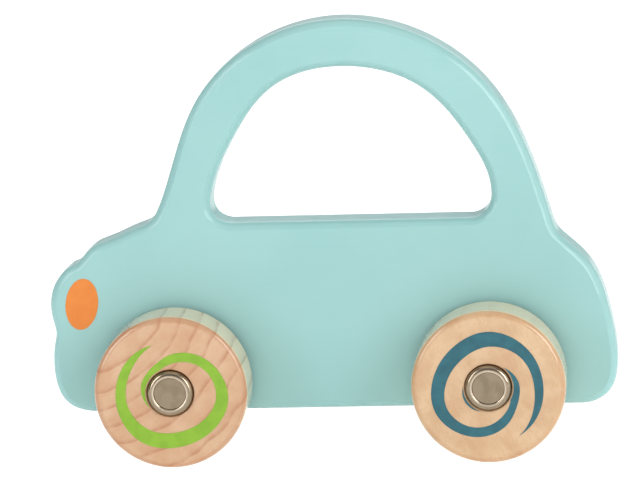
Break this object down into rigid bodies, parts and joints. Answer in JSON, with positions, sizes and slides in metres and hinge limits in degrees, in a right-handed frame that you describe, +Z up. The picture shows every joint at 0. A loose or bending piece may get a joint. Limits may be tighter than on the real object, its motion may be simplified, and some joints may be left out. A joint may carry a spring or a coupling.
{
  "type": "pull back car",
  "caption": "Painted wooden toy car cut from one board, with a hand window, wooden wheels held by metal caps, and a pull-back spring motor on the rear axle.",
  "frame": {"origin": "on the ground, midway between the axles, in the middle of the board's thickness", "axes": "+Z up, +X toward the tail (the nose points along -X), +Y toward the car's right side"},
  "size_m": [0.1488, 0.0506, 0.1143],
  "materials": {
    "body_paint": "opaque satin lacquer",
    "headlight_ink": "satin printed ink",
    "front_wood": "sealed beech",
    "rear_wood": "sealed maple",
    "front_ink": "satin printed ink",
    "rear_ink": "satin printed ink",
    "cap_metal": "nickel-plated pressed steel",
    "steel": "ground",
    "spring_steel": "blued",
    "zinc_screw": "zinc-plated",
    "plate_steel": "zinc-plated",
    "motor_case": "fine spark-eroded",
    "gear_plastic": "natural acetal",
    "drum_plastic": "moulded",
    "washer_plastic": "smooth nylon"
  },
  "bodies": {
    "body": {"body_board": "body_paint", "left_headlight_print": "headlight_ink", "right_headlight_print": "headlight_ink", "front_left_washer": "washer_plastic", "front_right_washer": "washer_plastic", "rear_left_washer": "washer_plastic", "rear_right_washer": "washer_plastic", "motor_case_left": "motor_case", "motor_case_right": "motor_case", "motor_plate": "plate_steel", "case_screws": "zinc_screw", "mount_screws": "zinc_screw", "transfer_shaft": "steel", "spring_arbor": "steel"},
    "front_axle": {"front_axle": "steel", "front_left_hub_cap": "cap_metal", "front_right_hub_cap": "cap_metal"},
    "front_left_wheel": {"front_left_wheel": "front_wood", "front_left_wheel_print": "front_ink"},
    "front_right_wheel": {"front_right_wheel": "front_wood", "front_right_wheel_print": "front_ink"},
    "rear_wheels": {"rear_axle": "steel", "drive_pinion": "gear_plastic", "rear_left_wheel": "rear_wood", "rear_left_wheel_print": "rear_ink", "rear_left_hub_cap": "cap_metal", "rear_right_wheel": "rear_wood", "rear_right_wheel_print": "rear_ink", "rear_right_hub_cap": "cap_metal"},
    "transfer_gear": {"transfer_gear": "gear_plastic"},
    "spring_drum": {"spring_drum": "drum_plastic", "spring_drum_lid": "drum_plastic", "mainspring": "spring_steel"}
  },
  "joints": [
    {"name": "front_axle_spin", "type": "hinge", "parent": "body", "child": "front_axle", "pos_m": [-0.04125, 0, 0.02], "axis": [0, 1, 0], "continuous": true},
    {"name": "front_left_wheel_spin", "type": "hinge", "parent": "front_axle", "child": "front_left_wheel", "pos_m": [-0.04125, -0.016, 0.02], "axis": [0, 1, 0], "continuous": true},
    {"name": "front_right_wheel_spin", "type": "hinge", "parent": "front_axle", "child": "front_right_wheel", "pos_m": [-0.04125, 0.016, 0.02], "axis": [0, 1, 0], "continuous": true},
    {"name": "rear_wheels_spin", "type": "hinge", "parent": "body", "child": "rear_wheels", "pos_m": [0.04125, 0, 0.02], "axis": [0, 1, 0], "continuous": true},
    {"name": "transfer_gear_spin", "type": "hinge", "parent": "body", "child": "transfer_gear", "pos_m": [0.04505, 0, 0.02704], "axis": [0, 1, 0], "continuous": true},
    {"name": "spring_drum_spin", "type": "hinge", "parent": "body", "child": "spring_drum", "pos_m": [0.03705, 0, 0.02704], "axis": [0, 1, 0], "continuous": true}
  ],
  "couplings": [
    {"joint": "transfer_gear_spin", "follows": "rear_wheels_spin", "ratio": -0.6},
    {"joint": "spring_drum_spin", "follows": "rear_wheels_spin", "ratio": 0.27273}
  ]
}
